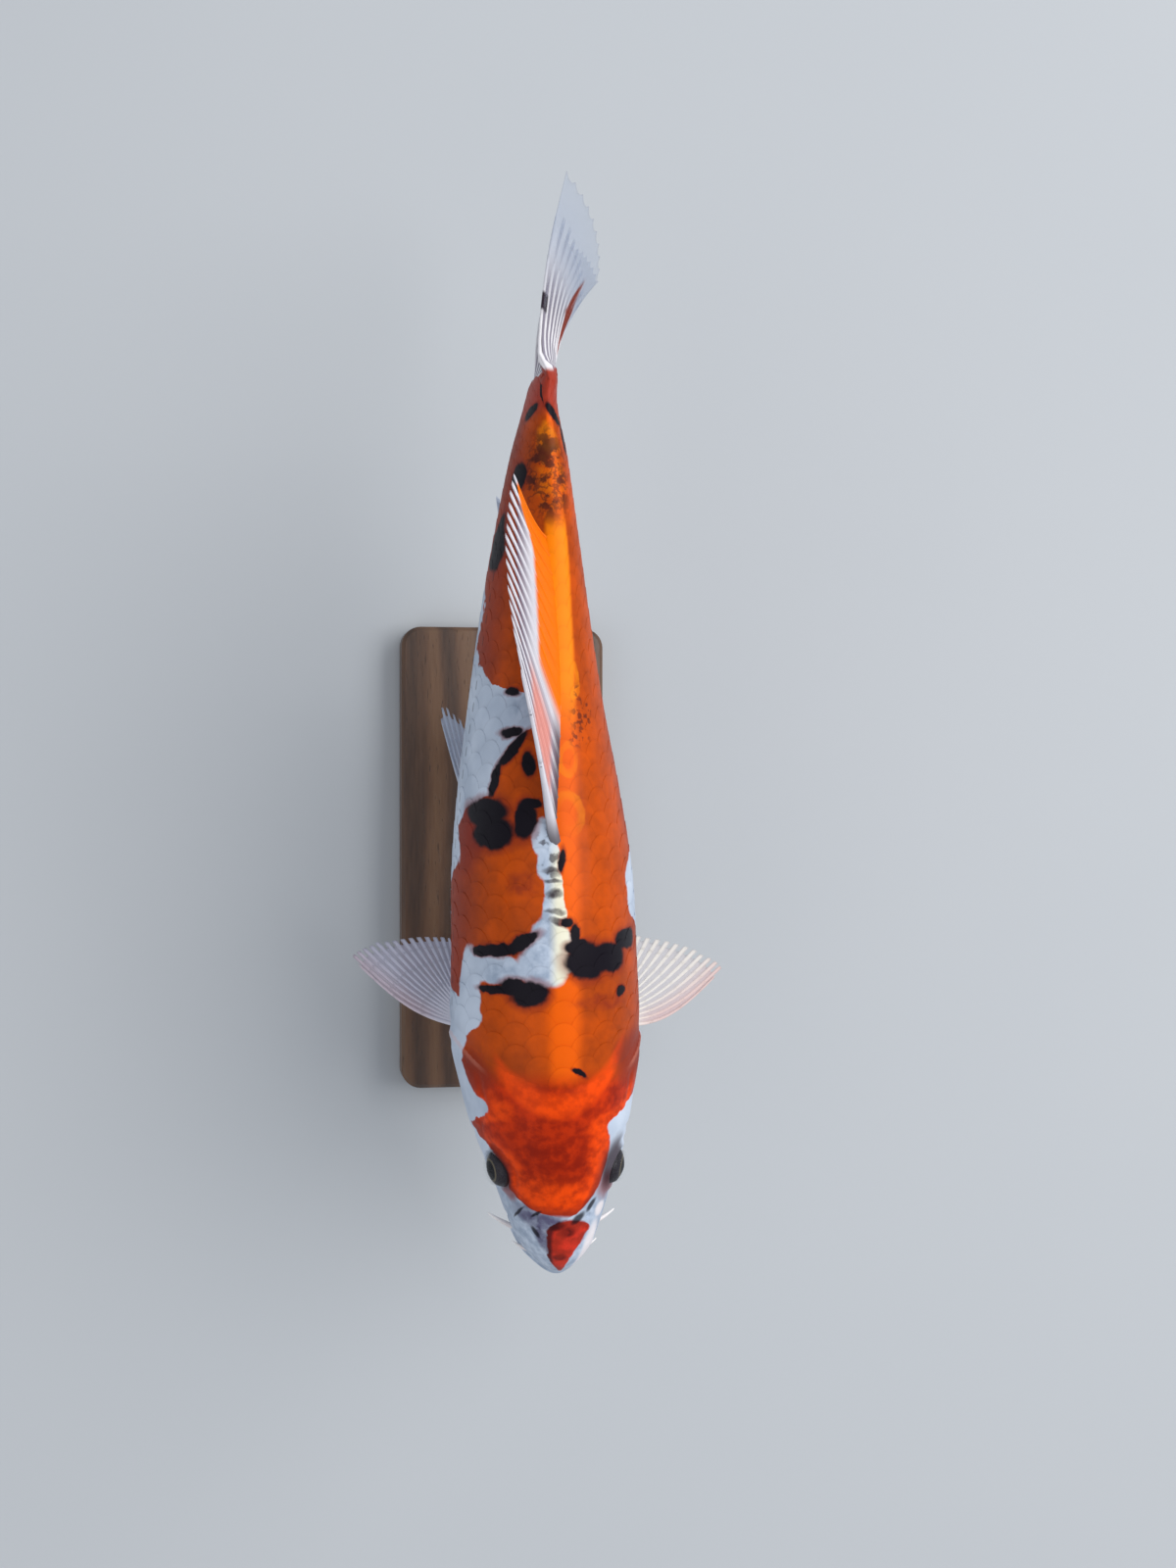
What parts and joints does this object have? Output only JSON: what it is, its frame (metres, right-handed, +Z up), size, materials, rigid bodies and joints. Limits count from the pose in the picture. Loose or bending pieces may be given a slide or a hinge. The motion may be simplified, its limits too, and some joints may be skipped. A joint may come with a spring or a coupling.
{
  "type": "koi carp model on a display stand",
  "caption": "Life-size still model of a koi carp, white with orange-red and black patches, swimming level over a flat base on two short rods.",
  "frame": {"origin": "centre of the stand base's flat underside", "axes": "+Z up, the fish's head towards -Y and its tail towards +Y, the fish's left side towards +X"},
  "size_m": [0.1409, 0.3879, 0.1901],
  "materials": {
    "koi_skin": "wet satin fish skin, orange-red with white and black patches",
    "koi_white": "wet satin white skin",
    "koi_fin": "thin pale fin web between white rays",
    "koi_eye": "clear glossy eye with a dark pupil",
    "stand_wood": "satin dark hardwood",
    "stand_steel": "fine brushed rod"
  },
  "bodies": {
    "root": {"head": "koi_skin", "lower_jaw": "koi_white", "gill_cover_left": "koi_skin", "gill_cover_right": "koi_skin", "trunk_front": "koi_skin", "trunk_rear": "koi_skin", "tail_stalk": "koi_skin", "eye_left": "koi_eye", "eye_right": "koi_eye", "barbel_rear_left": "koi_white", "barbel_rear_right": "koi_white", "barbel_front_left": "koi_white", "barbel_front_right": "koi_white", "dorsal_fin": "koi_fin", "anal_fin": "koi_fin", "pectoral_fin_left": "koi_fin", "pectoral_fin_right": "koi_fin", "pelvic_fin_left": "koi_fin", "pelvic_fin_right": "koi_fin", "tail_fin_upper": "koi_fin", "tail_fin_lower": "koi_fin", "stand_base": "stand_wood", "stand_rod_front": "stand_steel", "stand_rod_rear": "stand_steel"}
  },
  "joints": []
}
